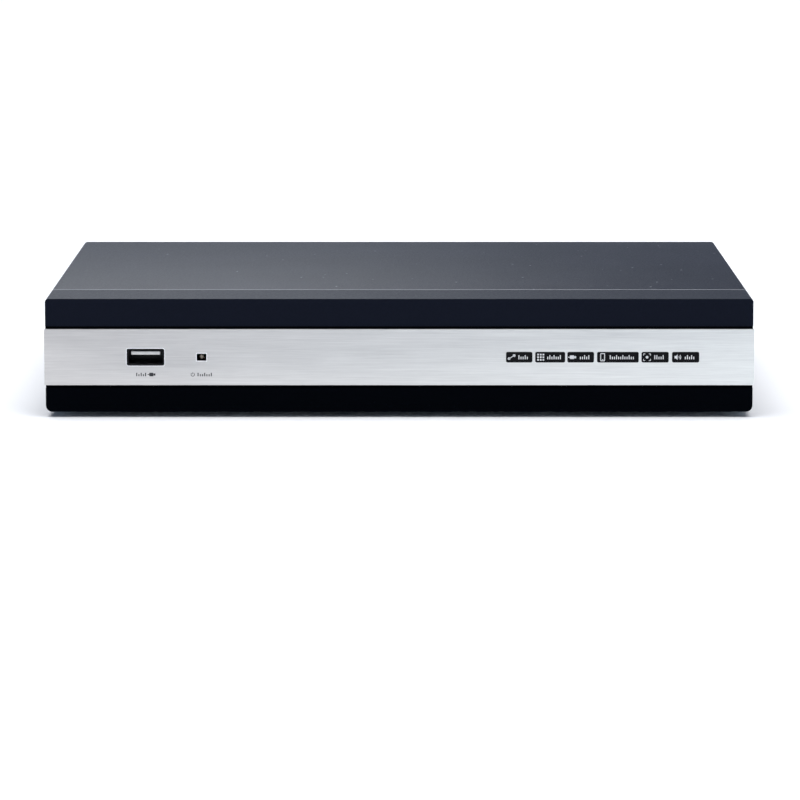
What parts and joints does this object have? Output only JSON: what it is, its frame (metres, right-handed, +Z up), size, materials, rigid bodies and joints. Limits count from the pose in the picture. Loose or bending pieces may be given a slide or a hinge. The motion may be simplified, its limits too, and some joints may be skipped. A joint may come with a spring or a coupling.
{
  "type": "dvr recorder",
  "caption": "Compact video recorder: dark steel cover, brushed trim plate with a USB port, and a rear panel of video, audio, network, USB and power sockets round a hard drive and main board.",
  "frame": {"origin": "centre of the footprint, on the surface under the feet", "axes": "front faces -Y, +X to the right seen from the front, +Z up"},
  "size_m": [0.257, 0.2174, 0.043],
  "materials": {
    "cover_paint": "fine powder coat",
    "tray_steel": "smooth satin blue-grey",
    "bezel_plastic": "fine texture",
    "trim_aluminium": "brushed lengthwise, chamfered lower edge",
    "rubber": "matte",
    "nickel": "satin nickel plate",
    "zinc_screw": "zinc plate",
    "gold_contact": "gold flash",
    "dielectric": "satin",
    "dark_nickel": "black nickel plate",
    "black_plastic": "moulded",
    "white_plastic": "gloss",
    "red_plastic": "gloss",
    "crimson_plastic": "gloss",
    "grey_plastic": "satin",
    "blue_plastic": "satin",
    "green_plastic": "satin",
    "led_lens": "clear resin",
    "yellow_lens": "clear resin",
    "green_lens": "clear resin",
    "circuit_board": "solder mask",
    "chip_resin": "moulded resin",
    "capacitor_sleeve": "shrink sleeve, aluminium top",
    "anodised": "extruded, clear anodised",
    "brass_post": "turned",
    "cast_alloy": "die cast",
    "drive_steel": "satin",
    "disc_mirror": "polished",
    "cable_red": "satin sheath",
    "cable_yellow": "satin sheath",
    "cable_grey": "satin sheath"
  },
  "bodies": {
    "case": {"base_chassis": "tray_steel", "cover_screws": "zinc_screw", "front_bezel": "bezel_plastic", "trim_plate": "trim_aluminium", "rubber_feet": "rubber", "front_usb_shell": "dark_nickel", "front_usb_tongue": "white_plastic", "power_led": "led_lens", "front_board": "circuit_board", "front_cable": "cable_grey", "mainboard": "circuit_board", "standoffs": "brass_post", "board_screws": "zinc_screw", "bnc_shells": "nickel", "bnc_insulators": "dielectric", "bnc_contacts": "dark_nickel", "bnc_housings": "black_plastic", "audio_out_shell": "nickel", "audio_in_shells": "nickel", "audio_in_bases": "crimson_plastic", "audio_out_insert": "grey_plastic", "audio_white_insert": "white_plastic", "audio_red_insert": "red_plastic", "audio_contacts": "dark_nickel", "audio_blocks": "black_plastic", "hd_port_shell": "nickel", "hd_port_tongue": "black_plastic", "lan_usb_shell": "nickel", "lan_usb_insert": "black_plastic", "lan_contacts": "gold_contact", "usb_tongues": "black_plastic", "lan_led_yellow": "yellow_lens", "lan_led_green": "green_lens", "vga_shell": "nickel", "vga_insert": "blue_plastic", "vga_jackscrews": "nickel", "rs485_header": "green_plastic", "rs485_pins": "nickel", "dc_jack_body": "black_plastic", "dc_jack_pin": "nickel", "rear_screw": "zinc_screw", "processor": "chip_resin", "heatsink": "anodised", "memory_chips": "chip_resin", "decoder_chips": "chip_resin", "capacitors": "capacitor_sleeve", "coin_cell": "nickel", "coin_cell_holder": "black_plastic", "drive_casting": "cast_alloy", "drive_lid": "drive_steel", "drive_board": "circuit_board", "drive_connector": "black_plastic", "drive_screws": "zinc_screw", "cable_sockets": "black_plastic", "cable_plugs": "black_plastic", "sata_cable": "cable_red", "drive_power_cable": "cable_yellow"},
    "cover": {"top_cover": "cover_paint"},
    "platters": {"drive_platters": "disc_mirror"},
    "head_arm": {"drive_head_arm": "anodised"}
  },
  "joints": [
    {"name": "cover_slide", "type": "slide", "parent": "case", "child": "cover", "axis": [0, 1, 0], "range_m": [0, 0.18]},
    {"name": "platter_spin", "type": "hinge", "parent": "case", "child": "platters", "pos_m": [0.058, -0.0492, 0.017], "axis": [0, 0, 1], "continuous": true},
    {"name": "head_arm_swing", "type": "hinge", "parent": "case", "child": "head_arm", "pos_m": [0.002, -0.066, 0.017], "axis": [0, 0, 1], "range_deg": [-37, 0]}
  ]
}
